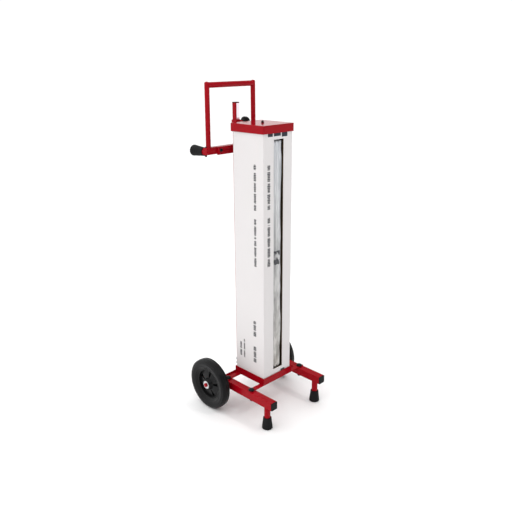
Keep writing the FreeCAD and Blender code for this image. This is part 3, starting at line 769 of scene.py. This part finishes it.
def build_film_end():
    """The film's free end: it leaves the roll and hangs in upright folds behind the slot."""
    roll_lo, roll_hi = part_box("film_roll")
    centre, radius = middle("film_roll"), (roll_hi.x - roll_lo.x) / 2
    slot_lo, slot_hi = opening("film_slot")
    board_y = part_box("carton")[0].y + BOARD
    past_left, short_right, short_below, short_above = 9 * MM, 4 * MM, 3 * MM, 5 * MM
    left, right = slot_lo.x - past_left, slot_hi.x - short_right
    low, high = slot_lo.z + short_below, slot_hi.z - short_above
    columns, rows, thickness, clear = 60, 110, 0.2 * MM, 0.9 * MM

    def place(u, v):
        """A point of the sheet: u runs from the roll to the free edge, and v runs up."""
        z = low + (high - low) * v
        wander = noise.noise(Vector((0.0, 3.1, z * 7)))
        x = left + (right - left) * u + 4 * MM * wander * u
        roll_y = centre.y - (radius ** 2 - (x - centre.x) ** 2) ** 0.5
        free = min(1.0, 3.2 * u)
        rest_y = roll_y + (board_y + 4 * MM - roll_y) * free
        slant = 0.8 * noise.noise(Vector((0.0, 7.7, z * 4)))
        fold = 2.1 * sin(tau * (3.3 * u + slant)) + 0.8 * sin(tau * (7.7 * u - 1.6 * slant))
        crumple = 1.4 * noise.noise(Vector((x * 70, 1.9, z * 24)))
        y = rest_y + (fold + crumple) * free * MM
        return Vector((x, max(board_y + clear, min(roll_y - clear, y)), z))

    bm = bmesh.new()
    sides = []
    for shift in (0.0, thickness):
        sides.append([[bm.verts.new(place(i / columns, j / rows) + Vector((0, shift, 0)))
                       for j in range(rows + 1)] for i in range(columns + 1)])
    for grid in sides:
        for i in range(columns):
            for j in range(rows):
                bm.faces.new((grid[i][j], grid[i + 1][j], grid[i + 1][j + 1], grid[i][j + 1]))
    near, far = sides
    for i in range(columns):
        for j in (0, rows):
            bm.faces.new((near[i][j], near[i + 1][j], far[i + 1][j], far[i][j]))
    for j in range(rows):
        for i in (0, columns):
            bm.faces.new((near[i][j], near[i][j + 1], far[i][j + 1], far[i][j]))
    sheet = bmesh_piece("film_free_end", bm, "stand", [LOOSE_FILM])
    across = [place(i / columns, 0.5) for i in range(columns + 1)]


# ---------------------------------------------------------------- wheels
def tyre_outline(radius, half):
    """Half of the tyre's section, from the bead out to the middle of the tread."""
    bead_r = 0.6 * radius
    points = [(bead_r, 0.53 * half), (bead_r + 1.2 * MM, 0.60 * half)]
    points += [(0.66 * radius, 0.72 * half), (0.70 * radius, 0.80 * half)]
    points += [(0.705 * radius, 0.845 * half), (0.72 * radius, 0.87 * half), (0.73 * radius, 0.87 * half)]
    points += [(0.79 * radius, 0.965 * half), (0.84 * radius, half), (0.885 * radius, half)]
    points += [(0.893 * radius, 0.965 * half), (0.905 * radius, 0.965 * half), (0.913 * radius, 0.985 * half)]
    points += [(0.94 * radius, 0.93 * half), (0.962 * radius, 0.82 * half)]
    groove, width = 1.6 * MM, 0.9 * MM
    for along in (0.62, 0.34):
        crown = radius * (1 - 0.036 * along ** 2)
        points += [(crown, along * half + 1.6 * width), (crown - groove, along * half + width / 2)]
        points += [(crown - groove, along * half - width / 2), (crown, along * half - 1.6 * width)]
    points += [(radius, 0.09 * half), (radius, 0.0)]
    return points


def build_wheels():
    """A detailed tyre and the hub's rings for each wheel."""
    for side in SIDES:
        lo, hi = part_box(side + "_tyre")
        radius, half = (hi.z - lo.z) / 2, (hi.x - lo.x) / 2
        centre = (lo + hi) / 2
        near = tyre_outline(radius, half)
        far = [(r, -h) for r, h in reversed(near[:-1])]
        bead_r = near[0][0]
        lugs, notch, steps = 60, 1.0 * MM, 300

        def shape(r, h, angle):
            """Small notches across both shoulders of the tread."""
            share = (angle * lugs / tau) % 1.0
            shoulder = 0.955 * radius < r < 0.99 * radius and abs(h) > 0.7 * half
            return (r - notch if shoulder and share < 0.3 else r), h

        tyre = turned(side + "_tyre_detailed", near + far, centre, (1, 0, 0), steps, side + "_wheel",
                      "tyre_rubber", shape)
        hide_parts(side + "_tyre")
        outward = -1 if side == "left" else 1
        hub_rings(side, centre, outward, bead_r)


def hub_rings(side, centre, outward, rim_r):
    """Moulded rings on the hub's outer face: one at the rim and one round the boss."""
    face = 5.5 * MM
    inner_r, crest_r, outer_r = rim_r - 4.2 * MM, rim_r - 2.6 * MM, rim_r - 1.4 * MM
    ring = [(inner_r, 0.0), (inner_r, face + 3.5 * MM), (crest_r, face + 4.6 * MM),
            (outer_r, face + 3.9 * MM), (outer_r, 0.0)]
    turned(side + "_hub_rim_ring", ring, centre, (outward, 0, 0), 120, side + "_wheel", "hub_plastic")
    boss_r, boss_top, wall, chamfer = 19.6 * MM, 16.5 * MM, 1.8 * MM, 1 * MM
    boss = [(boss_r, 0.0), (boss_r, boss_top - chamfer), (boss_r - chamfer, boss_top),
            (boss_r - wall, boss_top), (boss_r - wall, 0.0)]
    turned(side + "_hub_boss_ring", boss, centre, (outward, 0, 0), 72, side + "_wheel", "hub_plastic")


# ---------------------------------------------------------------- stage
def build_stage():
    """A pale floor and soft light.

    The backdrop is brightest at the horizon, and overhead it is dimmer on the side that the slot faces.
    """
    bpy.ops.mesh.primitive_plane_add(size=60, location=(0, 0, 0))
    floor = bpy.context.object
    floor.name = "studio_floor"
    white = Finish("studio_floor", Roughness=0.9, Specular_IOR_Level=0.0)
    white.colour(white.mix(white.noise(2), (0.94, 0.94, 0.94), (0.96, 0.96, 0.96)))
    floor.data.materials.append(white.material)

    world = bpy.data.worlds.new("studio")
    bpy.context.scene.world = world
    world.use_nodes = True
    tree = world.node_tree
    sky = tree.nodes["Background"]
    coords = tree.nodes.new("ShaderNodeTexCoord")
    parts = tree.nodes.new("ShaderNodeSeparateXYZ")
    band = tree.nodes.new("ShaderNodeMapRange")
    band.interpolation_type = "SMOOTHSTEP"
    horizon, over_slot_side, over_wheel_side = 1.06, 0.12, 0.36
    for key, value in (("From Min", 0.10), ("From Max", 0.45), ("To Min", horizon)):
        band.inputs[key].default_value = value
    overhead = tree.nodes.new("ShaderNodeMapRange")
    for key, value in (("From Min", -0.9), ("From Max", 0.1), ("To Min", over_slot_side),
                       ("To Max", over_wheel_side)):
        overhead.inputs[key].default_value = value
    tree.links.new(coords.outputs["Generated"], parts.inputs["Vector"])
    tree.links.new(parts.outputs["Y"], overhead.inputs["Value"])
    tree.links.new(overhead.outputs["Result"], band.inputs["To Max"])
    tree.links.new(parts.outputs["Z"], band.inputs["Value"])
    tree.links.new(band.outputs["Result"], sky.inputs["Strength"])
    sky.inputs["Color"].default_value = (1, 1, 1, 1)

    def soft_light(name, place, aim, size, power):
        lamp = bpy.data.lights.new(name, "AREA")
        lamp.shape = "DISK"
        lamp.size = size
        lamp.energy = power
        obj = bpy.data.objects.new(name, lamp)
        bpy.context.scene.collection.objects.link(obj)
        obj.location = place
        obj.rotation_euler = (Vector(aim) - Vector(place)).to_track_quat("-Z", "Y").to_euler()
        obj.visible_camera = False

    soft_light("key_left", (-2.6, -0.4, 2.6), (0, 0, 0.6), 1.6, 2)
    soft_light("front_top", (0.7, -1.5, 2.9), (0, 0, 1.2), 0.3, 11)

    # a very wide soft source overhead, a little to the left and the back, which lights the whole floor alike
    ceiling = bpy.data.lights.new("ceiling", "SUN")
    ceiling.energy = 2.8
    ceiling.angle = radians(120)
    obj = bpy.data.objects.new("ceiling", ceiling)
    obj.rotation_euler = (radians(-16), radians(-15), 0)
    bpy.context.scene.collection.objects.link(obj)


def build_camera():
    """Stands at the left front, above the trolley, and looks down at it."""
    place = Vector((-1.513, -1.5262, 1.305))
    yaw, pitch, roll = radians(44.53), radians(18.24), radians(-0.39)
    forward = Vector((sin(yaw) * cos(pitch), cos(yaw) * cos(pitch), -sin(pitch)))
    right = Vector((cos(yaw), -sin(yaw), 0))
    up = right.cross(forward)
    tilted_right = cos(roll) * right + sin(roll) * up
    tilted_up = cos(roll) * up - sin(roll) * right
    lens = bpy.data.cameras.new("camera")
    lens.lens = 42.51
    lens.sensor_width = 36.0
    lens.clip_start = 0.05
    lens.clip_end = 200.0
    camera = bpy.data.objects.new("camera", lens)
    bpy.context.scene.collection.objects.link(camera)
    turn = Matrix((tilted_right, tilted_up, -forward)).transposed()
    camera.matrix_world = Matrix.Translation(place) @ turn.to_4x4()
    bpy.context.scene.camera = camera


dress_frame()
weld_frame()
build_carton()
build_film()
build_film_end()
build_wheels()
build_stage()
build_camera()
bpy.context.scene.view_settings.view_transform = "Standard"
